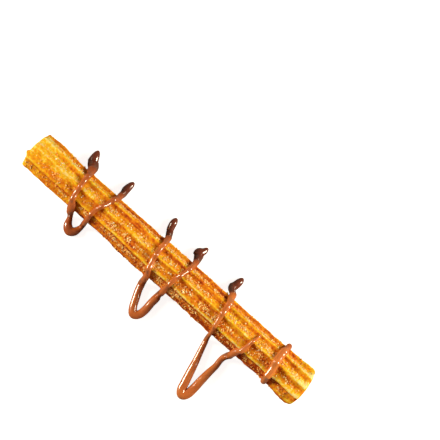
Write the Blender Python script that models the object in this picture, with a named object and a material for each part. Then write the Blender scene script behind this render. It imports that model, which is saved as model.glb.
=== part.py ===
"""A stick churro with milk chocolate drizzled across it, lying on a flat surface.

The dough is one ribbed stick, as it comes out of a ten-point star nozzle that turns a little in
use, so that its ribs lean. The chocolate is four separate strings, which cross the stick, run down
its sides and lie on the surface beside it.

Metres, +Z up. +X runs along the stick, from its plain end to its flared end. The origin is the
middle of the flat strip on the rib that the stick rests on.
"""

import math

import bmesh
import bpy
import numpy as np

MM = 0.001

# The stick.
PLAIN_END = -109.0 * MM
FLARED_END = 110.0 * MM
RIBS = 10
RIB_DEPTH = 2.0 * MM            # crest to groove
RIB_TURN = math.radians(6.0)    # how far the top crest leans towards +Y
GROOVE_AT = 0.70                # place of the groove, of the way from one crest to the next
RIB_PLACES = (0.0, 0.12, 0.30, 0.50, GROOVE_AT, 0.85)
FOOT_SINK = 0.9 * MM            # how much of the lowest rib is pressed flat
FOOT_TURN = math.radians(9.0)   # how far that flat strip lies from straight below the middle
# Half width and sideways bend of the stick, in millimetres, at places along it.
STICK_SHAPE = (
    # x, half width, bend
    (-110.0, 12.9, -0.4),
    (-96.0, 13.0, -0.5),
    (-82.0, 12.55, -0.9),
    (-60.0, 12.4, -0.7),
    (-42.0, 12.7, -0.7),
    (-14.0, 13.1, -1.2),
    (10.0, 12.7, -0.3),
    (26.0, 12.85, -0.5),
    (55.0, 12.85, -0.6),
    (78.0, 12.7, -0.35),
    (95.0, 13.4, -0.4),
    (104.0, 14.2, -0.45),
    (110.0, 13.9, -0.4),
)
FLARE = 10.0 * MM               # the length over which the nozzle's last push opens the ribs
FLARE_DEPTH = 0.9 * MM          # how much deeper the grooves are at that end
# Each cut bulges: its rim lies furthest out near the top and draws back from there, round the stick.
PLAIN_BULGE = 1.8 * MM
PLAIN_LEAN = math.radians(5.0)
FLARED_BULGE = 2.1 * MM
FLARED_LEAN = math.radians(20.0)
END_ROUND = 1.6 * MM            # rounding of the two rims
END_DISH = 1.2 * MM             # how far the middle of an end lies inside its rim
STATIONS = 34

# The chocolate.
GAP = 0.3 * MM                  # between the chocolate and the dough
SIDE_LEAVES = math.radians(80)  # where a string leaves the stick's round, from its top
SIDE_RUN = 4.6 * MM             # how far out a string reaches the surface
SIDE_CURVE = 1.6                # 1 for a straight slope down, 2 for a quarter ellipse
STRING_RISE = 0.62              # height of a string, over its width
FLAT_FROM = 4.2 * MM            # a string wider than this has run out flatter,
FLATTENING = 0.7                # by this power of its width
LIFT = 0.1 * MM                 # of the strings above the surface
STRING_STEP = 1.9 * MM          # spacing of the sections along a string
STRING_SIDES = 8
# Routes seen from above, in millimetres: along the stick, across it, and the string's width.
STRINGS = {
    "drizzle_1": (
        (-78.6, 24.2, 2.3), (-78.0, 21.8, 4.1), (-77.2, 18.5, 5.8), (-76.2, 15.8, 6.7),
        (-74.3, 13.2, 7.2), (-72.5, 10.5, 4.0), (-72.3, 7.4, 3.7), (-71.9, 3.2, 3.4),
        (-71.5, -1.0, 3.4), (-70.9, -5.1, 3.5), (-69.7, -8.7, 4.1), (-67.8, -11.5, 5.3),
        (-66.1, -14.0, 4.2), (-64.8, -16.4, 3.4), (-63.8, -19.1, 4.2), (-62.2, -21.9, 5.7),
        (-59.5, -23.7, 6.1), (-56.9, -21.9, 5.3), (-55.8, -18.6, 3.7), (-55.6, -15.4, 3.2),
        (-55.6, -11.5, 3.6), (-55.9, -8.1, 3.2), (-55.6, -4.5, 3.0), (-54.6, -0.7, 3.1),
        (-53.1, 2.6, 3.2), (-51.9, 7.1, 3.4), (-50.4, 10.7, 3.8), (-50.0, 13.5, 4.3),
        (-50.5, 17.3, 4.8), (-50.1, 21.5, 3.8), (-49.8, 24.2, 2.2),
    ),
    "drizzle_2": (
        (-16.2, 25.4, 2.4), (-15.9, 22.4, 4.6), (-15.3, 19.4, 4.8), (-14.2, 16.2, 4.3),
        (-12.8, 13.5, 4.1), (-11.4, 11.0, 3.8), (-11.1, 7.4, 3.5), (-10.9, 3.8, 3.4),
        (-10.5, -0.4, 3.3), (-9.6, -4.5, 3.5), (-8.2, -8.7, 3.8), (-6.5, -12.8, 4.0),
        (-6.0, -16.7, 4.6), (-4.7, -21.9, 4.6), (-2.4, -27.3, 4.9), (0.0, -32.4, 5.1),
        (2.9, -35.2, 5.5), (5.6, -32.9, 5.1), (6.5, -28.5, 5.0), (6.4, -23.1, 4.9), (6.6, -18.9, 5.0),
        (6.4, -15.4, 3.9), (6.9, -12.5, 4.0), (6.8, -9.3, 3.3), (7.0, -5.7, 3.1), (8.1, -0.4, 3.2),
        (9.3, 5.0, 3.1), (10.0, 9.2, 3.3), (10.2, 12.3, 3.7), (9.0, 15.6, 5.7), (8.0, 18.5, 6.7),
        (9.3, 21.5, 4.0), (9.9, 24.5, 2.2),
    ),
    "drizzle_3": (
        (37.8, 25.2, 2.4), (37.6, 22.1, 4.4), (37.1, 18.8, 5.1), (36.4, 16.2, 5.1), (37.4, 14.1, 4.6),
        (39.7, 12.5, 4.2), (41.3, 9.5, 4.1), (42.1, 5.0, 3.9), (42.3, 1.1, 3.7), (42.9, -2.7, 3.2),
        (43.6, -6.6, 2.8), (44.4, -10.2, 2.5), (45.1, -13.7, 2.7), (46.2, -18.3, 3.3),
        (47.8, -24.3, 3.8), (49.9, -31.5, 4.5), (51.8, -38.8, 5.0), (53.6, -45.4, 5.4),
        (54.8, -49.6, 5.7), (57.1, -51.8, 5.9), (59.2, -49.3, 5.7), (59.9, -44.2, 5.4),
        (60.0, -37.6, 4.9), (60.3, -30.9, 4.5), (60.8, -25.5, 4.0), (60.5, -21.3, 3.8),
        (60.9, -17.7, 4.0), (62.0, -14.4, 4.2), (63.6, -11.5, 4.6), (65.3, -8.4, 3.5),
        (66.2, -5.1, 3.0), (66.5, -1.6, 2.5), (67.0, 1.7, 2.2), (67.7, 5.0, 1.6), (68.0, 8.0, 1.1),
    ),
    "drizzle_4": (
        (85.3, 12.9, 3.8), (85.1, 10.4, 4.7), (84.9, 7.1, 5.2), (85.2, 3.8, 5.4), (85.7, 0.2, 5.4),
        (86.4, -3.3, 5.1), (86.9, -6.9, 4.8), (87.3, -10.5, 4.6), (87.7, -13.4, 3.8),
    ),
}

DOUGH_COLOUR = (0.62, 0.27, 0.055, 1.0)
CHOCOLATE_COLOUR = (0.30, 0.085, 0.025, 1.0)


def stick_shape(x, column):
    """One column of the stick's shape at x, eased from each place to the next by 3t^2 - 2t^3."""
    places, values = np.array(STICK_SHAPE)[:, (0, column)].T * MM
    step = np.clip(np.searchsorted(places, x) - 1, 0, len(places) - 2)
    t = np.clip((x - places[step]) / (places[step + 1] - places[step]), 0, 1)
    return values[step] + (values[step + 1] - values[step]) * t * t * (3 - 2 * t)


def half_width(x):
    return stick_shape(x, 1)


def middle_z(x):
    return half_width(x) - FOOT_SINK


# How far +Y the routes and the bends shift, which puts the middle of the foot at the origin.
TO_FOOT = middle_z(0.0) * math.tan(FOOT_TURN) - stick_shape(0.0, 2)


def middle_y(x):
    return TO_FOOT + stick_shape(x, 2)


def rib_fall(place):
    """Fall from crest to groove, 0 to 1: a quarter sine wave, to a power that rounds the crest a
    little, over the rib's long side, and another over its short side."""
    long_side, short_side = place / GROOVE_AT, (1 - place) / (1 - GROOVE_AT)
    return np.sin(np.where(place < GROOVE_AT, long_side, short_side) * math.pi / 2) ** 1.3


def rims(turn):
    """Where the two cuts' rims lie along X."""
    plain = PLAIN_END + PLAIN_BULGE * (1 - np.cos(turn + PLAIN_LEAN)) ** 0.8
    flared = FLARED_END - FLARED_BULGE * (1 - np.cos(turn + FLARED_LEAN))
    return plain, flared


def material(name, colour, roughness):
    made = bpy.data.materials.new(name)
    made.use_nodes = True
    shader = made.node_tree.nodes["Principled BSDF"]
    shader.inputs["Base Color"].default_value = colour
    shader.inputs["Roughness"].default_value = roughness
    shader.inputs["Metallic"].default_value = 0.0
    return made


def loft(name, rings, first_middle, last_middle, finish, collection):
    """One closed solid through rings of equally many points, with a fan of faces over each end."""
    stations, around, _ = rings.shape
    points = [*rings.reshape(-1, 3).tolist(), list(first_middle), list(last_middle)]
    first, last = stations * around, stations * around + 1
    faces = []
    for station in range(stations - 1):
        for side in range(around):
            near, far = station * around, (station + 1) * around
            beside = (side + 1) % around
            faces.append((near + side, near + beside, far + beside, far + side))
    for side in range(around):
        beside = (side + 1) % around
        top = (stations - 1) * around
        faces.append((first, beside, side))
        faces.append((last, top + side, top + beside))
    mesh = bpy.data.meshes.new(name)
    mesh.from_pydata(points, [], faces)
    shape = bmesh.new()
    shape.from_mesh(mesh)
    bmesh.ops.recalc_face_normals(shape, faces=shape.faces)
    shape.to_mesh(mesh)
    shape.free()
    mesh.shade_smooth()
    mesh.set_sharp_from_angle(angle=math.radians(40))
    mesh.materials.append(finish)
    made = bpy.data.objects.new(name, mesh)
    collection.objects.link(made)
    return made


def make_dough(finish, collection):
    """The stick: a ribbed round, carried along X, rounded at both rims and flat underneath."""
    rim_share = END_ROUND / (FLARED_END - PLAIN_END)
    rim_shares = np.array([0.0, 0.35, 1.0]) * rim_share
    body_shares = np.linspace(rim_share, 1 - rim_share, STATIONS)[1:-1]
    shares = np.concatenate([rim_shares, body_shares, 1 - rim_shares[::-1]])
    ribs, places = np.meshgrid(np.arange(RIBS), RIB_PLACES, indexing="ij")
    turns = RIB_TURN + (ribs + places).ravel() * 2 * math.pi / RIBS
    share, turn = np.meshgrid(shares, turns, indexing="ij")
    fall = rib_fall(np.tile(RIB_PLACES, RIBS))[None]
    plain, flared = rims(turn)
    x = plain + (flared - plain) * share
    closing = np.clip(1 - np.minimum(x - plain, flared - x) / END_ROUND, 0, 1)
    rounding = END_ROUND * (1 - np.sqrt(1 - closing**2))
    opened = np.clip((x - FLARED_END + FLARE) / FLARE, 0, 1)
    radius = half_width(x) - (RIB_DEPTH + FLARE_DEPTH * opened) * fall - rounding
    y = middle_y(x) + radius * np.sin(turn)
    z = np.maximum(middle_z(x) + radius * np.cos(turn), 0)
    rings = np.stack([x, y, z], axis=-1)
    start = rings[0].mean(axis=0) + [END_DISH, 0, 0]
    end = rings[-1].mean(axis=0) - [END_DISH, 0, 0]
    return loft("dough", rings, start, end, finish, collection)


def laid_height(x, y):
    """How high a string lies: over the stick's crests, down its side in a curve that starts upright
    and ends level, a superellipse's quarter, and then on the surface."""
    over = half_width(x) + GAP
    out = np.abs(y - middle_y(x))
    leaves = over * math.sin(SIDE_LEAVES)
    top = middle_z(x) + np.sqrt(np.maximum(over**2 - out**2, 0))
    start = middle_z(x) + over * math.cos(SIDE_LEAVES) - LIFT
    t = np.clip((out - leaves) / SIDE_RUN, 0, 1)
    side = start * (1 - (1 - (1 - t) ** SIDE_CURVE) ** (1 / SIDE_CURVE)) + LIFT
    return np.where(out < leaves, top, side)


def smooth_route(route, per_span=40):
    """A Catmull-Rom curve through a route's points, its width carried with it."""
    points = np.array(route) * MM
    points = np.concatenate([[2 * points[0] - points[1]], points, [2 * points[-1] - points[-2]]])
    t = np.linspace(0, 1, per_span, endpoint=False)[None, :, None]
    before, start, end, after = (points[k : len(points) - 3 + k, None] for k in range(4))
    curve = start + 0.5 * t * (
        end - before
        + t * (2 * before - 5 * start + 4 * end - after + t * (3 * (start - end) + after - before))
    )
    return np.concatenate([curve.reshape(-1, 3), points[-2:-1]])


def make_string(name, route, finish, collection):
    """A string of chocolate: a low round section, flat underneath, carried along its laid route."""
    curve = smooth_route(route)
    x, y, width = curve.T
    y = y + TO_FOOT
    laid = np.stack([x, y, laid_height(x, y)], axis=1)
    run = np.concatenate([[0], np.cumsum(np.linalg.norm(np.diff(laid, axis=0), axis=1))])
    stops = np.linspace(0, run[-1], round(run[-1] / STRING_STEP) + 1)
    laid = np.stack([np.interp(stops, run, laid[:, k]) for k in range(3)], axis=1)
    width = np.interp(stops, run, width)

    along = np.gradient(laid, axis=0)
    along /= np.linalg.norm(along, axis=1)[:, None]
    nudge = 0.05 * MM
    rise_x = laid_height(laid[:, 0] + nudge, laid[:, 1]) - laid_height(laid[:, 0] - nudge, laid[:, 1])
    rise_y = laid_height(laid[:, 0], laid[:, 1] + nudge) - laid_height(laid[:, 0], laid[:, 1] - nudge)
    up = np.stack([-rise_x, -rise_y, np.full(len(laid), 2 * nudge)], axis=1)
    up -= along * (up * along).sum(axis=1)[:, None]
    up /= np.linalg.norm(up, axis=1)[:, None]
    across = np.cross(along, up)

    # Both ends are rounded over half the string's width.
    to_end = np.minimum(stops, run[-1] - stops)
    closing = np.clip(to_end / (width / 2), 0, 1)
    width = width * np.clip(np.sqrt(1 - (1 - closing) ** 2), 0.35, 1)

    turn = (np.arange(STRING_SIDES) + 0.5) * 2 * math.pi / STRING_SIDES
    out = np.cos(turn)[None, :, None] * width[:, None, None] / 2
    height = width * STRING_RISE * np.minimum(FLAT_FROM / width, 1) ** FLATTENING
    high = np.maximum(0.4 + 0.6 * np.sin(turn), 0)[None, :, None] * height[:, None, None]
    rings = laid[:, None] + across[:, None] * out + up[:, None] * high
    return loft(name, rings, rings[0].mean(axis=0), rings[-1].mean(axis=0), finish, collection)


for old in list(bpy.data.objects):
    bpy.data.objects.remove(old, do_unlink=True)
churro = bpy.data.collections.new("churro")
bpy.context.scene.collection.children.link(churro)

make_dough(material("fried_dough", DOUGH_COLOUR, 0.55), churro)
chocolate = material("milk_chocolate", CHOCOLATE_COLOUR, 0.3)
for string_name, string_route in STRINGS.items():
    make_string(string_name, string_route, chocolate, churro)
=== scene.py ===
import math

import bpy
import numpy as np
from mathutils import Matrix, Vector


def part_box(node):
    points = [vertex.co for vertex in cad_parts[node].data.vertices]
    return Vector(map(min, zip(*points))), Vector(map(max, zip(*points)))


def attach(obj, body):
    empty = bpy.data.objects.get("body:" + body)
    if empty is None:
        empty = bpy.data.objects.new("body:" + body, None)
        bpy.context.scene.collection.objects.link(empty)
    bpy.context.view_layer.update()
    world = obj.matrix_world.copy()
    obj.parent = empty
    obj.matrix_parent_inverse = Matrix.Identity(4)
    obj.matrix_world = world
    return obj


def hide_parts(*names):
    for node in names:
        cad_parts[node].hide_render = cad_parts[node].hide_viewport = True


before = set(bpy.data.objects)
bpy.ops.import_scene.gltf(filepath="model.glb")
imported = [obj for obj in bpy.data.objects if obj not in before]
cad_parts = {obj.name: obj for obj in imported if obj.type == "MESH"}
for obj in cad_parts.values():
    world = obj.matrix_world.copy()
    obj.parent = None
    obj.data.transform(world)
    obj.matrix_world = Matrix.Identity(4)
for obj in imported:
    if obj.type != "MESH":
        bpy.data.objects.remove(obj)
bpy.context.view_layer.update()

# ------------------------------------------------------------------------------------------------
# The stick. One length of fried dough, pressed through a ten-point star nozzle, so that it carries
# ten ribs along its whole length, which lean over a little. Both ends were cut before frying: one
# came out plain, the other with its ribs spread. It lies on its lowest rib, pressed flat.
# ------------------------------------------------------------------------------------------------
MM = 0.001
RIBS = 10
RIB_TURN = math.radians(6.0)    # the top crest's lean towards +Y
GROOVE_AT = 0.70                # place of the groove, of the way from crest to crest
CREST_POWER = 1.3               # over 1 rounds the crests a little
RIB_DEPTH = 2.0 * MM
RIM_DEPTH = (0.55, 0.40)        # share of it left at the plain rim and at the flared one
OPENED_DEPTH = 0.6 * MM         # how much deeper the grooves are where the ribs open,
OPENED_AT = 7 * MM              # this far from the flared rim
FOOT_SINK = 0.9 * MM            # how far the lowest crest is pressed flat
PLAIN_ROUND = 1.7 * MM          # rounding of the plain end's rim
FLARED_ROUND = 2.8 * MM         # and of the flared end's
NIB = 1.4 * MM                  # how far the plain cut's nib stands out
PLAIN_FACE = 1.1 * MM           # how far in each cut's face starts,
FLARED_FACE = 1.2 * MM
END_DISH = 1.3 * MM             # and how much deeper its hollow is
CREST_STEP = 8 * MM             # length of the stretches whose highest CAD point is taken
LUMPS_SUNK = 0.12 * MM          # keeps the lumps from standing far out past the crests
TEAR_DEPTH = 0.45 * MM          # of the crests' torn places,
TEAR_FROM = 0.2                 # where their uneven value passes this
FACE_BROWNING = 0.30            # of both end faces
# How far the ribs have turned in the oil: places along the stick in millimetres, and there the
# degrees over its top, and the degrees more on its -Y and on its +Y side.
TWISTS = np.array([
    (-92, 1.0, 8.0, -5.0), (-60, 0.0, 3.0, 0.0), (-32, -2.0, 0.0, 0.0), (0, 0.0, 4.0, 2.0),
    (24, -0.5, 12.0, 7.0), (60, -0.5, 11.0, 5.0), (84, -0.5, 10.0, 6.0), (100, -0.5, 0.0, 9.0),
])
# The dough's unevenness: height, length along the stick, cells round it and seed of each layer.
WANDER = [(0.045, 38 * MM, 7, 11), (0.016, 8 * MM, 10, 12)]      # of the ribs, in radians
RIB_DEPTH_SHARE = [(0.22, 14 * MM, RIBS, 21)]
RIB_END_SHIFT = [(1.5 * MM, 9 * MM, RIBS, 22)]
LUMPS = [(0.10 * MM, 15 * MM, 96, 31), (0.24 * MM, 6.5 * MM, 16, 32)]
FINE_LUMPS = [(0.11 * MM, 2.2 * MM, 40, 33), (0.08 * MM, 0.9 * MM, 84, 34)]
TEARS = [(1.0, 2.4 * MM, 22, 35)]
CRUMB = [(0.35 * MM, 1.6 * MM, 24, 36)]
FRYING = [(0.07, 11 * MM, 9, 41), (0.06, 3.2 * MM, 26, 42), (0.13, 9 * MM, 90, 43)]

cad_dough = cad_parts["dough"].data
cad_points = np.empty(len(cad_dough.vertices) * 3, np.float32)
cad_dough.vertices.foreach_get("co", cad_points)
cad_points = cad_points.reshape(-1, 3).astype(float)
stick_low, stick_high = (np.array(corner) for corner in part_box("dough"))

# The stick's half width and middle along its length, worked out from the CAD stick's top crest: the
# highest CAD point of each short stretch.
stretch = np.floor((cad_points[:, 0] - stick_low[0]) / CREST_STEP)
inner_stretches = [cad_points[stretch == k] for k in range(1, int(stretch.max()))]
top_crest = np.array([points[points[:, 2].argmax()] for points in inner_stretches])
cad_half_width = (top_crest[:, 2] + FOOT_SINK) / (1 + math.cos(RIB_TURN))
cad_middle_y = top_crest[:, 1] - cad_half_width * math.sin(RIB_TURN)


def half_width(x):
    """The stick's half width at x, over its crests."""
    return np.interp(x, top_crest[:, 0], cad_half_width)


def middle_y(x):
    """How far to +Y the stick's middle lies at x."""
    return np.interp(x, top_crest[:, 0], cad_middle_y)


def middle_z(x):
    """How high the stick's middle lies at x: its half width, less the flat foot."""
    return half_width(x) - FOOT_SINK


def uneven(along, around, cell, cells_around, seed):
    """Smooth seeded heights of about -1 to 1 on a tube: random values on a lattice with one cell
    each `cell` metres along and `cells_around` cells in a full turn, blended by the cubic B-spline
    weights of the four nearest lattice values in each direction."""
    rows = int(600 * MM / cell)     # far more than the stick's length
    lattice = np.random.default_rng(seed).uniform(-1.9, 1.9, (rows, cells_around))
    row = along / cell + rows // 2
    column = (around / (2 * math.pi) % 1.0) * cells_around
    first_row, first_column = np.floor(row).astype(int), np.floor(column).astype(int)

    def weights(u):
        return ((1 - u) ** 3 / 6, (3 * u**3 - 6 * u**2 + 4) / 6,
                (-3 * u**3 + 3 * u**2 + 3 * u + 1) / 6, u**3 / 6)

    total = np.zeros_like(along)
    for i, row_weight in enumerate(weights(row - first_row)):
        for k, column_weight in enumerate(weights(column - first_column)):
            values = lattice[(first_row + i) % rows, (first_column + k - 1) % cells_around]
            total += row_weight * column_weight * values
    return total


def layered(along, around, layers):
    """The sum of uneven heights: each layer's height times its own seeded values."""
    return sum(height * uneven(along, around, *cells_and_seed) for height, *cells_and_seed in layers)


def smooth(value, low, high):
    """0 below low, 1 above high, and 3t^2 - 2t^3 between them."""
    t = np.clip((value - low) / (high - low), 0, 1)
    return t * t * (3 - 2 * t)


def rib_place(x, turn):
    """Where a point lies between two crests: 0 on a crest, GROOVE_AT in the groove and 1 on the
    next crest. The ribs turn by TWISTS and wander a few degrees round the stick, as soft dough does."""
    top, low_side, high_side = np.radians([
        np.interp(x, TWISTS[:, 0] * MM, degrees) for degrees in TWISTS[:, 1:].T
    ])
    twist = top + low_side * np.clip(-np.sin(turn), 0, 1) + high_side * np.clip(np.sin(turn), 0, 1)
    return RIBS * (turn - RIB_TURN + twist + layered(x, turn, WANDER)) / (2 * math.pi) % 1.0


def rib_fall(place):
    """Fall from crest to groove, 0 to 1: a quarter sine wave, to the power CREST_POWER, over the
    rib's long side, and another over its short side."""
    long_side, short_side = place / GROOVE_AT, (1 - place) / (1 - GROOVE_AT)
    quarter = np.where(place < GROOVE_AT, long_side, short_side) * math.pi / 2
    return np.sin(quarter) ** CREST_POWER


def rim_x(turn):
    """Where the cut rims are. Both cuts run back from the top to the underside, as one less the
    cosine of turn does, and the plain one has a small nib that was torn out when the dough was cut:
    a bell 0.10 radians wide."""
    run_back = (1 - np.cos(turn + 0.09)) ** 0.8
    nib = np.exp(-(2 * np.sin((turn + 0.39) / 2) / 0.10) ** 2)
    plain = stick_low[0] + 0.5 * MM + 1.8 * MM * run_back - NIB * nib
    flared = stick_high[0] - 2.1 * MM * (1 - np.cos(turn + 0.35))
    return plain, flared


def rim_rounding(to_rim, round_by):
    """How far a rounded rim draws the crust in: a quarter circle's fall over the last round_by."""
    closing = np.clip(1 - to_rim / round_by, 0, 1)
    return round_by * (1 - np.sqrt(1 - closing**2))


def crust_point(place, turn, fine=1.0):
    """A point of the crust. turn is the angle round the stick from its top. place runs from -1 to 0
    over the plain end's face, from its middle to its rim, from 0 to 1 along the stick, and from 1
    to 2 over the flared end's face. The radius is the half width, less the rib's fall, the torn
    crests and the rounding of the rims, plus lumps. fine=0 leaves out the small lumps and tears."""
    plain_rim, flared_rim = rim_x(turn)
    along = np.clip(place, 0, 1)
    over_face = np.clip(-place, 0, 1) + np.clip(place - 1, 0, 1)
    x = plain_rim + (flared_rim - plain_rim) * along
    from_plain, from_flared = x - plain_rim, flared_rim - x

    depth = RIB_DEPTH * (1 + layered(x, turn, RIB_DEPTH_SHARE))
    depth = depth + OPENED_DEPTH * np.exp(-((from_flared - OPENED_AT) / OPENED_AT) ** 2)
    to_full = smooth(from_plain, 0, 22 * MM)
    depth = depth * (RIM_DEPTH[0] + (1 - RIM_DEPTH[0]) * to_full)
    to_full = smooth(from_flared + layered(x, turn, RIB_END_SHIFT), 0.5 * MM, 4.0 * MM)
    depth = depth * (RIM_DEPTH[1] + (1 - RIM_DEPTH[1]) * to_full)

    fall = rib_fall(rib_place(x, turn))
    radius = half_width(x) - depth * fall
    radius += layered(x, turn, LUMPS) - LUMPS_SUNK + layered(x, turn, FINE_LUMPS) * fine
    torn = np.clip(layered(x, turn, TEARS) - TEAR_FROM, 0, 1)
    radius -= TEAR_DEPTH * torn * (1 - fall) ** 2 * fine
    radius -= rim_rounding(from_plain, PLAIN_ROUND) + rim_rounding(from_flared, FLARED_ROUND)
    radius *= 1 - over_face

    # The end faces dish inward from their rims, with a rough crumb between rim and middle.
    at_plain_end = place < 0.5
    plain_face = stick_low[0] + PLAIN_FACE + END_DISH
    flared_face = stick_high[0] - FLARED_FACE - END_DISH
    inward = np.where(at_plain_end, plain_face - plain_rim, flared_face - flared_rim)
    crumb = layered(radius, turn, CRUMB) * np.sin(math.pi * over_face)
    crumb = crumb * np.where(at_plain_end, -1, 1) * (over_face > 0)

    y = middle_y(x) + radius * np.sin(turn)
    z = np.maximum(middle_z(x) + radius * np.cos(turn), 0.0)
    return np.stack([x + inward * smooth(over_face, 0, 1) + crumb, y, z], axis=-1)


def crust_browning_and_painted_light(place, turn):
    """How brown the crust fried, 0 pale to 1 dark, with painted light and shade added: a sum of smooth
    steps across each rib, round the stick and along it. Pale lines along the crests are painted
    highlights. The grooves and the ribs' short sides are brown, partly from frying and partly as
    painted shade. The -Y side is darker with painted shade, the rims carry a painted dark outline, and
    the crust is pale at the plain end and near the flared rim."""
    plain_rim, flared_rim = rim_x(turn)
    x = plain_rim + (flared_rim - plain_rim) * np.clip(place, 0, 1)
    from_plain, from_flared = x - plain_rim, flared_rim - x
    rib = rib_place(x, turn)
    high_side, upward = np.sin(turn), np.cos(turn)
    low_side = np.clip(-high_side, 0, 1)
    near_plain = 1 - smooth(from_plain, 35 * MM, 60 * MM)
    opened = 1 - smooth(from_flared, 10 * MM, 30 * MM)

    # Across a rib: its long side, then its groove with its short side, brown partly from frying and
    # partly as painted shade, then the next crest's pale line, which is a painted highlight.
    across_rib_tone_and_light = (0.12 * smooth(rib, 0.03 + 0.25 * opened, 0.22 + 0.30 * opened)
                  + 0.26 * smooth(rib, 0.56, GROOVE_AT + 0.02)
                  - 0.38 * smooth(rib, 0.90, 0.995))
    deep = smooth(from_plain, 0, 75 * MM) * (0.35 + 0.65 * smooth(from_flared, 0, 30 * MM))
    browning_and_painted_light = 0.10 + across_rib_tone_and_light * (0.80 + 0.20 * deep) + 0.08 * deep
    browning_and_painted_light -= 0.22 * opened * (1 - smooth(rib, 0.30, 0.60))

    # Painted shade down the -Y side, the side turned from the stronger light: first on the ribs' long
    # sides, and darkest low down, under the stick.
    down_side_shade = (0.20 * smooth(low_side, 0.06, 0.34) * smooth(rib, 0.04, 0.30)
                 + 0.12 * smooth(low_side, 0.70, 0.84) + 0.51 * smooth(low_side, 0.84, 0.97))
    browning_and_painted_light += down_side_shade * (0.30 + 0.70 * smooth(from_plain, 5 * MM, 60 * MM))

    # Paler over the top at both ends, and painted highlights along the top crest and the next one to
    # -Y.
    ends = 0.16 * (1 - smooth(from_plain, 20 * MM, 70 * MM)) + 0.17 * opened
    browning_and_painted_light -= ends * smooth(high_side, -0.42, 0.02) * smooth(upward, 0.10, 0.55)
    on_crest = np.clip(1 - 4 * np.abs(rib - np.round(rib)), 0, 1)
    low_crest_highlight = np.exp(-((low_side - 0.57) / 0.14) ** 2) * on_crest
    top_crest_highlight = np.exp(-(high_side / 0.25) ** 2) * on_crest
    browning_and_painted_light -= smooth(x, -20 * MM, 20 * MM) * (0.44 * low_crest_highlight + 0.18 * top_crest_highlight)
    browning_and_painted_light -= 0.14 * opened * low_crest_highlight

    # Amber bands near the plain end, one beside the top to -Y and one low on the +Y side.
    low_band = smooth(low_side, 0.10, 0.24) * (1 - smooth(low_side, 0.55, 0.70))
    browning_and_painted_light += (0.18 * low_band * smooth(from_plain, 3 * MM, 14 * MM)
                 + 0.20 * smooth(high_side, 0.86, 0.97)
                 - 0.10 * smooth(high_side, 0.66, 0.78)) * near_plain
    # Painted shade: a darker line along the +Y edge, the stick's outline seen from above.
    browning_and_painted_light += 0.05 * smooth(high_side, 0.93, 0.99)

    # The palest that any place stays, and then the rims, with a painted dark outline of shade at each
    # cut, and the uneven frying.
    palest = (0.01 - 0.11 * smooth(from_plain, 30 * MM, 110 * MM) - 0.05 * opened
              + 0.08 * smooth(high_side, 0.50, 0.64) * near_plain)
    browning_and_painted_light = np.maximum(browning_and_painted_light, palest)
    browning_and_painted_light -= 0.16 * np.exp(-from_plain / (6 * MM)) * smooth(upward, 0.0, 0.5)
    browning_and_painted_light -= 0.05 * np.exp(-from_flared / (4 * MM))
    # Painted shade: a dark outline at each cut rim, strongest at the flared one.
    browning_and_painted_light += 0.15 * np.exp(-(from_plain / (0.5 * MM)) ** 2)
    browning_and_painted_light += 0.50 * np.exp(-(from_flared / (0.5 * MM)) ** 2)
    return browning_and_painted_light + layered(x, turn, FRYING)


def tube_mesh(name, rings, first_tip, last_tip):
    """A closed mesh through rings of equally many points, with a fan of triangles to each tip. The
    rings follow each other along the tube, and their points go round it anticlockwise, seen from
    the first tip, so that the faces look outward."""
    count, around, _ = rings.shape
    points = np.concatenate([rings.reshape(-1, 3), [first_tip, last_tip]])
    ring, side = np.meshgrid(np.arange(count - 1), np.arange(around), indexing="ij")
    beside = (side + 1) % around
    quads = np.stack([ring * around + side, (ring + 1) * around + side,
                      (ring + 1) * around + beside, ring * around + beside], axis=-1).reshape(-1, 4)
    side = np.arange(around)
    beside = (side + 1) % around
    last = (count - 1) * around
    tip = np.full(around, count * around)
    fans = np.concatenate([np.stack([tip, side, beside], axis=-1),
                           np.stack([tip + 1, last + beside, last + side], axis=-1)])
    mesh = bpy.data.meshes.new(name)
    mesh.from_pydata(points.tolist(), [], quads.tolist() + fans.tolist())
    mesh.shade_smooth()
    piece = bpy.data.objects.new(name, mesh)
    bpy.context.scene.collection.objects.link(piece)
    return piece


def point_values(piece, name, values):
    """Stores one number for each point, for the piece's material to read."""
    layer = piece.data.attributes.new(name, "FLOAT", "POINT")
    layer.data.foreach_set("value", np.ascontiguousarray(values, np.float32).ravel())


# The grid's steps along the stick lie closer at its rims.
rim_share = PLAIN_ROUND / (stick_high[0] - stick_low[0])
face_steps = np.linspace(-0.985, -0.04, 15)
body_steps = np.concatenate([
    np.linspace(0, rim_share, 8, endpoint=False),
    np.linspace(rim_share, 1 - rim_share, 510),
    np.linspace(1 - rim_share, 1, 9)[1:],
])
steps = np.concatenate([face_steps, body_steps, 1 - face_steps[::-1]])
turns = np.linspace(0, 2 * math.pi, 178, endpoint=False)
place_grid, turn_grid = np.meshgrid(steps, turns, indexing="ij")
crust = crust_point(place_grid, turn_grid)
dough = tube_mesh("dough_crust", crust, crust[0].mean(axis=0), crust[-1].mean(axis=0))
over_end = np.clip(-place_grid, 0, 1) + np.clip(place_grid - 1, 0, 1)
browning_and_painted_light = crust_browning_and_painted_light(place_grid, turn_grid)
browning_and_painted_light += (FACE_BROWNING - browning_and_painted_light) * smooth(over_end, 0.02, 0.22)
point_values(dough, "browning_and_painted_light", np.append(browning_and_painted_light, [FACE_BROWNING, FACE_BROWNING]))


def node_tree(name):
    """A new node material, its node tree and its Principled shader."""
    made = bpy.data.materials.new(name)
    made.use_nodes = True
    return made, made.node_tree, made.node_tree.nodes["Principled BSDF"]


def add(tree, kind, **settings):
    """Adds a shader node and sets its properties."""
    node = tree.nodes.new(kind)
    for key, value in settings.items():
        setattr(node, key, value)
    return node


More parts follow.
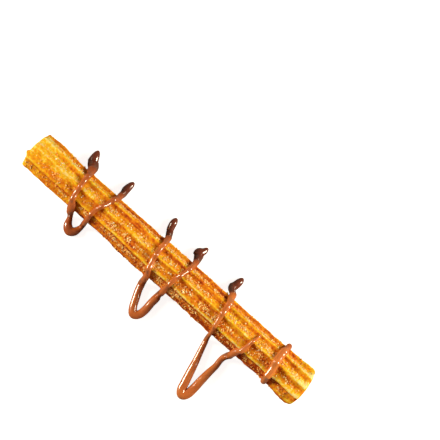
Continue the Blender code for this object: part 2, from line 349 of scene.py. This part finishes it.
def dial(node, values):
    """Sets constants on a node's own sockets."""
    for socket, value in values.items():
        node.inputs[socket].default_value = value


def colour_steps(node, steps_and_colours):
    """Fills a colour ramp with (place, (r, g, b)) pairs."""
    ramp = node.color_ramp
    while len(ramp.elements) < len(steps_and_colours):
        ramp.elements.new(0.5)
    for element, (place, colour) in zip(ramp.elements, steps_and_colours):
        element.position = place
        element.color = (*colour, 1.0)


def noise(tree, coords, scale, detail):
    """A noise texture on the piece's own coordinates."""
    node = add(tree, "ShaderNodeTexNoise")
    dial(node, {"Scale": scale, "Detail": detail})
    tree.links.new(coords.outputs["Object"], node.inputs["Vector"])
    return node


def weighed(tree, value, by, plus):
    """value times by, plus another value or a number."""
    node = add(tree, "ShaderNodeMath", operation="MULTIPLY_ADD")
    tree.links.new(value, node.inputs[0])
    node.inputs[1].default_value = by
    if isinstance(plus, float):
        node.inputs[2].default_value = plus
    else:
        tree.links.new(plus, node.inputs[2])
    return node.outputs[0]


# How much the crust's patterns add to its browning: blotches of about 6 mm, specks of under 2 mm,
# and most of what both are worth on average, which is taken off again.
BLOTCHES, SPECKS, TAKEN_OFF = 0.60, 1.10, -0.73
CRUST_COLOURS = [
    (0.00, (0.98, 0.74, 0.27)), (0.10, (0.96, 0.64, 0.060)), (0.23, (0.93, 0.52, 0.018)),
    (0.44, (0.84, 0.34, 0.011)), (0.65, (0.73, 0.200, 0.008)), (0.85, (0.52, 0.092, 0.007)),
    (1.00, (0.34, 0.050, 0.006)),
]

crust_finish, tree, shader = node_tree("fried_crust")
link = tree.links.new
coords = add(tree, "ShaderNodeTexCoord")
browned_and_lit = add(tree, "ShaderNodeAttribute", attribute_name="browning_and_painted_light")
blotch = noise(tree, coords, 170.0, 4.0)
speck = noise(tree, coords, 620.0, 3.0)
fried_and_lit = weighed(tree, blotch.outputs["Fac"], BLOTCHES, browned_and_lit.outputs["Fac"])
fried_and_lit = weighed(tree, speck.outputs["Fac"], SPECKS, fried_and_lit)
fried_and_lit = weighed(tree, fried_and_lit, 1.0, TAKEN_OFF)
crust_colour = add(tree, "ShaderNodeValToRGB")
colour_steps(crust_colour, CRUST_COLOURS)
link(fried_and_lit, crust_colour.inputs[0])
link(crust_colour.outputs[0], shader.inputs["Base Color"])

crust_height = weighed(tree, blotch.outputs["Fac"], 0.8, speck.outputs["Fac"])
crust_bump = add(tree, "ShaderNodeBump")
dial(crust_bump, {"Strength": 0.7, "Distance": 0.40 * MM})
link(crust_height, crust_bump.inputs["Height"])
link(crust_bump.outputs[0], shader.inputs["Normal"])
crust_roughness = add(tree, "ShaderNodeMapRange")
dial(crust_roughness, {"To Min": 0.34, "To Max": 0.70})
link(fried_and_lit, crust_roughness.inputs["Value"])
link(crust_roughness.outputs[0], shader.inputs["Roughness"])
dial(shader, {"Specular IOR Level": 0.11, "Subsurface Weight": 0.35,
              "Subsurface Radius": (1.0, 0.30, 0.10), "Subsurface Scale": 1.6 * MM})
dough.data.materials.append(crust_finish)
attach(dough, "root")
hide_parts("dough")

# ------------------------------------------------------------------------------------------------
# The sugar. Crystals of 0.4 to 0.8 mm and their fines, of 0.17 to 0.32 mm, that the hot stick was
# rolled in. They cling to the ribs' long sides in drifts, hardly to the crests and the ends, and
# take on the crust's oil, which leaves them creamy.
# ------------------------------------------------------------------------------------------------
CRYSTALS, CRYSTAL_SIZES = 5600, (0.40 * MM, 0.78 * MM)
FINES, FINE_SIZES = 7000, (0.17 * MM, 0.32 * MM)
TRIES = 12                      # spots drawn for each grain wanted
GRAIN_SHAPE = (0.7, 1.25)       # each of a grain's three sizes, over its size
GRAIN_SKEW = 0.22               # how far each corner is off, over the grain's size
GRAIN_TILT = 0.35               # of the random vector that tips it over
GRAIN_STANDS = 0.2              # its middle above the crust, over its size
LOWEST_GRAIN = 1.0 * MM         # none lie below this, under the stick
SUGAR_COLOURS = [
    (0.0, (0.90, 0.38, 0.07)), (0.40, (1.0, 0.52, 0.14)), (0.70, (1.0, 0.74, 0.26)),
    (1.0, (1.0, 0.90, 0.58)),
]
GRAIN_CORNERS = np.array([(x, y, z) for x in (-1, 1) for y in (-1, 1) for z in (-1, 1)]) / 2
GRAIN_SIDES = np.array([
    (0, 1, 3, 2), (4, 6, 7, 5), (0, 4, 5, 1), (2, 3, 7, 6), (0, 2, 6, 4), (1, 5, 7, 3),
])


def scatter(count, sizes, seed):
    """Places, sizes and shades of grains: evenly drawn spots are kept where a chance, high on the
    ribs' long sides and low over the crests and at the ends, beats a second draw. It is the product
    of smooth steps across the rib, down the -Y side and from both ends, of drifts and of clumps."""
    draw = np.random.default_rng(seed)
    tries = count * TRIES
    place = draw.uniform(0.006, 0.994, tries)
    turn = draw.uniform(-math.pi, math.pi, tries)
    plain_rim, flared_rim = rim_x(turn)
    x = plain_rim + (flared_rim - plain_rim) * place
    rib = rib_place(x, turn)
    on_rib = smooth(rib, 0.06, 0.28) * (1 - smooth(rib, 0.50, 0.72)) + 0.05
    low_side = -np.sin(turn)
    on_side = (1 - 0.45 * smooth(low_side, 0.10, 0.30) + 1.4 * smooth(low_side, 0.60, 0.68)
               - 1.6 * smooth(low_side, 0.75, 0.86))
    drift = np.clip(0.55 + 0.55 * uneven(x, turn, 6 * MM, 20, seed + 1), 0.04, 1.2)
    clump = np.clip(0.45 + 0.75 * uneven(x, turn, 1.5 * MM, 60, seed + 2), 0.05, 1)
    near_plain = 0.25 + 0.75 * smooth(x - stick_low[0], 0, 80 * MM)
    near_flared = 0.12 + 0.88 * smooth(stick_high[0] - x, 2 * MM, 20 * MM)
    chance = on_rib * on_side * drift * clump * near_plain * near_flared
    kept = np.flatnonzero(draw.uniform(0, 1, tries) < chance)[:count]
    size = draw.uniform(*sizes, (len(kept), 1)) * draw.uniform(*GRAIN_SHAPE, (len(kept), 3))
    # Grains low on the -Y side are made a little darker: painted shade.
    shade = draw.uniform(0, 1, len(kept)) * (1 - 0.12 * smooth(low_side[kept], 0.25, 0.70))
    return place[kept], turn[kept], size, shade


def unit(vectors):
    """Rows of vectors, each over its own length."""
    return vectors / np.linalg.norm(vectors, axis=1)[:, None]


def grain_piece(name, count, sizes, seed):
    """One mesh of loose crystals. Each is a skewed block that lies on one of its sides, tipped by a
    random vector of GRAIN_TILT and spun at random, with its middle GRAIN_STANDS of its size above
    the crust. Outward is the cross product of two short steps over the crust."""
    place, turn, size, shade = scatter(count, sizes, seed)
    spot = crust_point(place, turn)
    beside, further = crust_point(place, turn + 0.008), crust_point(place + 0.001, turn)
    outward = unit(np.cross(beside - spot, further - spot))
    radial = np.stack([np.zeros_like(turn), np.sin(turn), np.cos(turn)], axis=1)
    outward *= np.sign((outward * radial).sum(axis=1))[:, None]
    seen = spot[:, 2] > LOWEST_GRAIN
    spot, outward, size, shade = (part[seen] for part in (spot, outward, size, shade))
    draw = np.random.default_rng(seed + 5)
    lying = unit(outward + draw.normal(0, GRAIN_TILT, (len(spot), 3)))
    edge = unit(np.cross(lying, draw.normal(0, 1, (len(spot), 3))))
    turned = np.stack([edge, np.cross(lying, edge), lying], axis=2)
    corners = GRAIN_CORNERS * (1 + draw.uniform(-GRAIN_SKEW, GRAIN_SKEW, (len(spot), 8, 3)))
    corners = np.einsum("nij,nkj->nki", turned, corners * size[:, None])
    middles = spot + outward * size.mean(axis=1)[:, None] * GRAIN_STANDS
    points = middles[:, None] + corners
    faces = GRAIN_SIDES[None] + (np.arange(len(spot)) * 8)[:, None, None]
    mesh = bpy.data.meshes.new(name)
    mesh.from_pydata(points.reshape(-1, 3).tolist(), [], faces.reshape(-1, 4).tolist())
    piece = bpy.data.objects.new(name, mesh)
    bpy.context.scene.collection.objects.link(piece)
    point_values(piece, "grain", np.repeat(shade, 8))
    return piece


sugar_finish, tree, shader = node_tree("sugar")
link = tree.links.new
grain_value = add(tree, "ShaderNodeAttribute", attribute_name="grain")
grain_colour = add(tree, "ShaderNodeValToRGB")
colour_steps(grain_colour, SUGAR_COLOURS)
link(grain_value.outputs["Fac"], grain_colour.inputs[0])
link(grain_colour.outputs[0], shader.inputs["Base Color"])
grain_roughness = add(tree, "ShaderNodeMapRange")
dial(grain_roughness, {"To Min": 0.40, "To Max": 0.15})
link(grain_value.outputs["Fac"], grain_roughness.inputs["Value"])
link(grain_roughness.outputs[0], shader.inputs["Roughness"])
dial(shader, {"Specular IOR Level": 0.3})

crystals = grain_piece("sugar_crystals", CRYSTALS, CRYSTAL_SIZES, 101)
fines = grain_piece("sugar_fines", FINES, FINE_SIZES, 202)
for grains in (crystals, fines):
    grains.data.materials.append(sugar_finish)
    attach(grains, "root")

# ------------------------------------------------------------------------------------------------
# The chocolate. Melted milk chocolate let fall in a zigzag: each string crosses the stick, sags
# into its grooves, runs down its side and lies in a loop on the surface, where it set.
# ------------------------------------------------------------------------------------------------
SIDE_LEAVES = math.radians(80)   # angle from the stick's top at which a string leaves the crests
SIDE_RUN = 4.6 * MM              # how far out from there it reaches the surface
SIDE_CURVE = 1.6                 # 1 for a straight slope down, 2 for a quarter ellipse
CLINGS_TO = math.radians(84)     # it sags into the grooves up to this angle,
CLINGS_LESS = math.radians(10)   # and less and less over the last of it
SET_GAP = 0.3 * MM               # from the crests to the line that a string is laid on
LIFT = 0.1 * MM                  # from the surface to its underside
BITE = 0.15 * MM                 # how far its underside reaches into the crust
DEEPEST = 3.2 * MM               # and the most that it hangs down from that line
SAG = 0.8                        # how far its top follows its underside into a groove
RISE = 0.74                      # height of a string, over its width
FLAT_FROM = 5.0 * MM             # a string wider than this has run out flatter,
FLATTENING = 0.7                 # by this power of its width
FLAT_BELOW = 0.45                # its circle is cut flat this share of a radius below its middle
END_LENGTH = 0.6                 # of a string's rounded end, over its width
END_BLUNT = 0.12                 # and the width left at its very tip
STRING_STEP = 0.35 * MM          # from section to section
STRING_SIDES = 24
PALENESS = (0.42, 0.52, 0.62, 0.72)    # of each string, 0 for dark
SHADED_TAIL_PALENESS = -0.03            # of the short tails on the +Y side, a painted shade, which darkens them from this far from the stick's middle
TAIL_FROM = 11.5 * MM            # which grow dark this far from the stick's middle
TAIL_TO = 14.5 * MM
CHOCOLATE_COLOURS = [
    (0.05, (0.16, 0.026, 0.008)), (0.35, (0.38, 0.078, 0.013)), (0.55, (0.56, 0.140, 0.024)),
    (0.80, (0.72, 0.215, 0.042)),
]
# Routes seen from above, in millimetres: along the stick, across it, and the string's width.
ROUTES = {
    "drizzle_1": (
        (-78.6, 24.2, 2.3), (-78.0, 21.8, 4.1), (-77.2, 18.5, 5.8), (-76.2, 15.8, 6.7),
        (-74.3, 13.2, 7.2), (-72.5, 10.5, 4.0), (-72.3, 7.4, 3.7), (-71.9, 3.2, 3.4),
        (-71.5, -1.0, 3.4), (-70.9, -5.1, 3.5), (-69.7, -8.7, 4.1), (-67.8, -11.5, 5.3),
        (-66.1, -14.0, 4.2), (-64.8, -16.4, 3.4), (-63.8, -19.1, 4.2), (-62.2, -21.9, 5.7),
        (-59.5, -23.7, 6.1), (-56.9, -21.9, 5.3), (-55.8, -18.6, 3.7), (-55.6, -15.4, 3.2),
        (-55.6, -11.5, 3.6), (-55.9, -8.1, 3.2), (-55.6, -4.5, 3.0), (-54.6, -0.7, 3.1),
        (-53.1, 2.6, 3.2), (-51.9, 7.1, 3.4), (-50.4, 10.7, 3.8), (-50.0, 13.5, 4.3),
        (-50.5, 17.3, 4.8), (-50.1, 21.5, 3.8), (-49.8, 24.2, 2.2),
    ),
    "drizzle_2": (
        (-16.2, 25.4, 2.4), (-15.9, 22.4, 4.6), (-15.3, 19.4, 4.8), (-14.2, 16.2, 4.3),
        (-12.8, 13.5, 4.1), (-11.4, 11.0, 3.8), (-11.1, 7.4, 3.5), (-10.9, 3.8, 3.4),
        (-10.5, -0.4, 3.3), (-9.6, -4.5, 3.5), (-8.2, -8.7, 3.8), (-6.5, -12.8, 4.0),
        (-6.0, -16.7, 4.6), (-4.7, -21.9, 4.6), (-2.4, -27.3, 4.9), (0.0, -32.4, 5.1),
        (2.9, -35.2, 5.5), (5.6, -32.9, 5.1), (6.5, -28.5, 5.0), (6.4, -23.1, 4.9), (6.6, -18.9, 5.0),
        (6.4, -15.4, 3.9), (6.9, -12.5, 4.0), (6.8, -9.3, 3.3), (7.0, -5.7, 3.1), (8.1, -0.4, 3.2),
        (9.3, 5.0, 3.1), (10.0, 9.2, 3.3), (10.2, 12.3, 3.7), (9.0, 15.6, 5.7), (8.0, 18.5, 6.7),
        (9.3, 21.5, 4.0), (9.9, 24.5, 2.2),
    ),
    "drizzle_3": (
        (37.8, 25.2, 2.4), (37.6, 22.1, 4.4), (37.1, 18.8, 5.1), (36.4, 16.2, 5.1), (37.4, 14.1, 4.6),
        (39.7, 12.5, 4.2), (41.3, 9.5, 4.1), (42.1, 5.0, 3.9), (42.3, 1.1, 3.7), (42.9, -2.7, 3.2),
        (43.6, -6.6, 2.8), (44.4, -10.2, 2.5), (45.1, -13.7, 2.7), (46.2, -18.3, 3.3),
        (47.8, -24.3, 3.8), (49.9, -31.5, 4.5), (51.8, -38.8, 5.0), (53.6, -45.4, 5.4),
        (54.8, -49.6, 5.7), (57.1, -51.8, 5.9), (59.2, -49.3, 5.7), (59.9, -44.2, 5.4),
        (60.0, -37.6, 4.9), (60.3, -30.9, 4.5), (60.8, -25.5, 4.0), (60.5, -21.3, 3.8),
        (60.9, -17.7, 4.0), (62.0, -14.4, 4.2), (63.6, -11.5, 4.6), (65.3, -8.4, 3.5),
        (66.2, -5.1, 3.0), (66.5, -1.6, 2.5), (67.0, 1.7, 2.2), (67.7, 5.0, 1.6), (68.0, 8.0, 1.1),
    ),
    "drizzle_4": (
        (85.3, 12.9, 3.8), (85.1, 10.4, 4.7), (84.9, 7.1, 5.2), (85.2, 3.8, 5.4), (85.7, 0.2, 5.4),
        (86.4, -3.3, 5.1), (86.9, -6.9, 4.8), (87.3, -10.5, 4.6), (87.7, -13.4, 3.8),
    ),
}
ROUTE_Y = middle_y(10 * MM) + 0.3 * MM     # the routes' zero line, beside the stick's middle


def laid_height(x, y):
    """How high a string lies: over the crests, down the side in a curve that starts upright and ends
    level, a superellipse's quarter, and then on the surface."""
    over = half_width(x) + SET_GAP
    out = np.abs(y - middle_y(x))
    leaves = over * math.sin(SIDE_LEAVES)
    top = middle_z(x) + np.sqrt(np.maximum(over**2 - out**2, 0))
    start = middle_z(x) + over * math.cos(SIDE_LEAVES) - LIFT
    t = np.clip((out - leaves) / SIDE_RUN, 0, 1)
    side = start * (1 - (1 - (1 - t) ** SIDE_CURVE) ** (1 / SIDE_CURVE)) + LIFT
    return np.where(out < leaves, top, side)


def smooth_route(route, per_span=40):
    """A Catmull-Rom curve through a route's points, its width carried with it."""
    points = np.array(route) * MM
    points = np.concatenate([[2 * points[0] - points[1]], points, [2 * points[-1] - points[-2]]])
    t = np.linspace(0, 1, per_span, endpoint=False)[None, :, None]
    before, start, end, after = (points[k : len(points) - 3 + k, None] for k in range(4))
    curve = start + 0.5 * t * (
        end - before
        + t * (2 * before - 5 * start + 4 * end - after + t * (3 * (start - end) + after - before))
    )
    return np.concatenate([curve.reshape(-1, 3), points[-2:-1]])


def blurred(values, reach):
    """Values averaged along a string with a bell of `reach` sections."""
    bell = np.exp(-0.5 * (np.arange(-3 * reach, 3 * reach + 1) / reach) ** 2)
    padded = np.pad(values, 3 * reach, mode="edge")
    return np.convolve(padded, bell / bell.sum(), mode="valid")


def string_piece(name, route, paleness, seed):
    """A string: a round section, flat underneath, carried along its route. Its underside follows
    the crust, or the surface, and its top sags into the grooves by most of that depth. It is a little
    paler where it lies over the crust, and dark in the short tails on the +Y side, which is painted
    shade."""
    x, y, width = smooth_route(route).T
    y = y + ROUTE_Y
    laid = np.stack([x, y, laid_height(x, y)], axis=1)
    run = np.concatenate([[0], np.cumsum(np.linalg.norm(np.diff(laid, axis=0), axis=1))])
    stops = np.linspace(0, run[-1], round(run[-1] / STRING_STEP) + 1)
    laid = np.stack([np.interp(stops, run, laid[:, k]) for k in range(3)], axis=1)
    width = np.interp(stops, run, width)
    width = width * (1 + 0.05 * uneven(stops, stops * 0, 5.5 * MM, 4, seed))

    # The section stands square to the string, and upright on what the string lies on.
    along = unit(np.gradient(laid, axis=0))
    x, y, z = laid.T
    nudge = 0.05 * MM
    rise_x = laid_height(x + nudge, y) - laid_height(x - nudge, y)
    rise_y = laid_height(x, y + nudge) - laid_height(x, y - nudge)
    up = np.stack([-rise_x, -rise_y, np.full(len(laid), 2 * nudge)], axis=1)
    up = unit(up - along * (up * along).sum(axis=1)[:, None])
    across = np.cross(along, up)

    # How far the crust lies under the string, where the string lies on it.
    off_middle, over_middle = y - middle_y(x), z - middle_z(x)
    turn = np.arctan2(off_middle, over_middle)
    share = (x - stick_low[0]) / (stick_high[0] - stick_low[0])
    crust_at = crust_point(share, turn, fine=0.0)
    crust_reach = np.hypot(crust_at[:, 1] - middle_y(x), crust_at[:, 2] - middle_z(x))
    on_stick = np.clip((CLINGS_TO - np.abs(turn)) / CLINGS_LESS, 0, 1)
    under = np.clip(np.hypot(off_middle, over_middle) - crust_reach + BITE, 0, DEEPEST) * on_stick
    sag = blurred(under, 2) * SAG

    to_end = np.minimum(stops, stops[-1] - stops)
    closing = np.clip(to_end / (width * END_LENGTH), 0, 1)
    width = width * np.clip(np.sqrt(1 - (1 - closing) ** 2), END_BLUNT, 1)
    angle = (np.arange(STRING_SIDES) + 0.5) * 2 * math.pi / STRING_SIDES
    out = np.cos(angle)[None] * width[:, None] / 2
    lumps = 1 + (0.03 + 0.12 * on_stick) * uneven(stops, stops * 0, 2.4 * MM, 4, seed + 50)
    top = (width * RISE * lumps * np.minimum(FLAT_FROM / width, 1) ** FLATTENING)[:, None]
    lifted = np.clip((np.sin(angle) + FLAT_BELOW) / (1 + FLAT_BELOW), 0, 1)[None]
    high = lifted * (top - sag[:, None] + under[:, None]) - under[:, None]
    rings = laid[:, None] + across[:, None] * out[:, :, None] + up[:, None] * high[:, :, None]
    rings[:, :, 2] = np.maximum(rings[:, :, 2], LIFT)
    string = tube_mesh(name, rings, rings[0].mean(axis=0), rings[-1].mean(axis=0))
    # Painted shade: the tails on the +Y side are darkened.
    tail_shade = smooth(off_middle, TAIL_FROM, TAIL_TO)
    pale = (paleness + 0.03 * on_stick) * (1 - tail_shade) + SHADED_TAIL_PALENESS * tail_shade
    point_values(string, "pale", np.append(np.repeat(pale, STRING_SIDES), [pale[0], pale[-1]]))
    return string


chocolate_finish, tree, shader = node_tree("milk_chocolate")
link = tree.links.new
coords = add(tree, "ShaderNodeTexCoord")
swirl = noise(tree, coords, 140.0, 4.0)
chocolate_colour = add(tree, "ShaderNodeValToRGB")
pale_value = add(tree, "ShaderNodeAttribute", attribute_name="pale")
paled = weighed(tree, swirl.outputs["Fac"], 0.60, pale_value.outputs["Fac"])
paled = weighed(tree, paled, 1.0, -0.30)        # the swirl's average, taken off again
colour_steps(chocolate_colour, CHOCOLATE_COLOURS)
link(paled, chocolate_colour.inputs[0])
link(chocolate_colour.outputs[0], shader.inputs["Base Color"])
dial(shader, {"Roughness": 0.28, "Specular IOR Level": 0.2, "Coat Weight": 1.0,
              "Coat Roughness": 0.18, "Coat IOR": 1.85})
chocolate_bump = add(tree, "ShaderNodeBump")
dial(chocolate_bump, {"Strength": 0.05, "Distance": 0.4 * MM})
link(swirl.outputs["Fac"], chocolate_bump.inputs["Height"])
link(chocolate_bump.outputs[0], shader.inputs["Normal"])

for number, (node, route) in enumerate(ROUTES.items()):
    string = string_piece("chocolate_" + node, route, PALENESS[number], 300 + number)
    string.data.materials.append(chocolate_finish)
    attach(string, "root")
    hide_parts(node)

# ------------------------------------------------------------------------------------------------
# The studio. A plain white surface, a soft light box low on each side, a dim warm room and the
# camera overhead. The camera sees the surface evenly white, and a duller one lights the churro.
# ------------------------------------------------------------------------------------------------
FLOOR_REACH = 3.0
VIEW_TURN = math.radians(41.94)        # the stick runs down to the right at this angle
VIEW_WIDTH = 264 * MM
LENS_MM = 300.0
SENSOR_MM = 36.0
BOX_SIDE = 0.34
BOX_COLOUR = (1.0, 0.935, 0.74)

floor_mesh = bpy.data.meshes.new("floor")
floor_corners = [(FLOOR_REACH * x, FLOOR_REACH * y, 0) for x, y in ((-1, -1), (1, -1), (1, 1), (-1, 1))]
floor_mesh.from_pydata(floor_corners, [], [(0, 1, 2, 3)])
floor = bpy.data.objects.new("floor", floor_mesh)
bpy.context.scene.collection.objects.link(floor)
floor_finish, tree, shader = node_tree("white_surface")
link = tree.links.new
dial(shader, {"Base Color": (0.6, 0.6, 0.6, 1.0), "Roughness": 0.9,
              "Emission Color": (1.0, 1.0, 1.0, 1.0), "Emission Strength": 0.86})
duller = add(tree, "ShaderNodeBsdfDiffuse")
dial(duller, {"Color": (0.24, 0.22, 0.20, 1.0)})
seen = add(tree, "ShaderNodeLightPath")
either = add(tree, "ShaderNodeMixShader")
link(seen.outputs["Is Camera Ray"], either.inputs[0])
link(duller.outputs[0], either.inputs[1])
link(shader.outputs[0], either.inputs[2])
link(either.outputs[0], tree.nodes["Material Output"].inputs["Surface"])
floor_mesh.materials.append(floor_finish)

view_middle = np.array([3.8 * MM, ROUTE_Y + 41.9 * MM, 12.5 * MM])
camera_data = bpy.data.cameras.new("overhead")
camera_data.lens = LENS_MM
camera_data.sensor_width = SENSOR_MM
camera_data.clip_end = 20.0
camera = bpy.data.objects.new("overhead", camera_data)
camera.location = view_middle + np.array([0, 0, VIEW_WIDTH * LENS_MM / SENSOR_MM])
camera.rotation_euler = (0, 0, VIEW_TURN)
bpy.context.scene.collection.objects.link(camera)
bpy.context.scene.camera = camera


def soft_light(name, bearing, elevation, power):
    """A square soft box a metre off, aimed at the stick's middle. bearing is degrees from +X
    towards +Y, elevation degrees above the surface."""
    bearing, elevation = math.radians(bearing), math.radians(elevation)
    way = np.array([math.cos(bearing) * math.cos(elevation), math.sin(bearing) * math.cos(elevation),
                    math.sin(elevation)])
    data = bpy.data.lights.new(name, "AREA")
    data.shape = "SQUARE"
    data.size = BOX_SIDE
    data.energy = power
    data.color = BOX_COLOUR
    lamp = bpy.data.objects.new(name, data)
    lamp.location = way
    level = np.array([-math.sin(bearing), math.cos(bearing), 0])
    facing = np.stack([level, np.cross(way, level), way], axis=1)
    lamp.rotation_euler = Matrix(facing.tolist()).to_euler()
    bpy.context.scene.collection.objects.link(lamp)


soft_light("right_box", 36, 23, 12.0)
soft_light("left_box", 200, 24, 11.0)

world = bpy.data.worlds.new("studio")
world.use_nodes = True
dial(world.node_tree.nodes["Background"], {"Color": (1.0, 0.68, 0.46, 1.0), "Strength": 0.24})
bpy.context.scene.world = world
bpy.context.scene.view_settings.view_transform = "Standard"
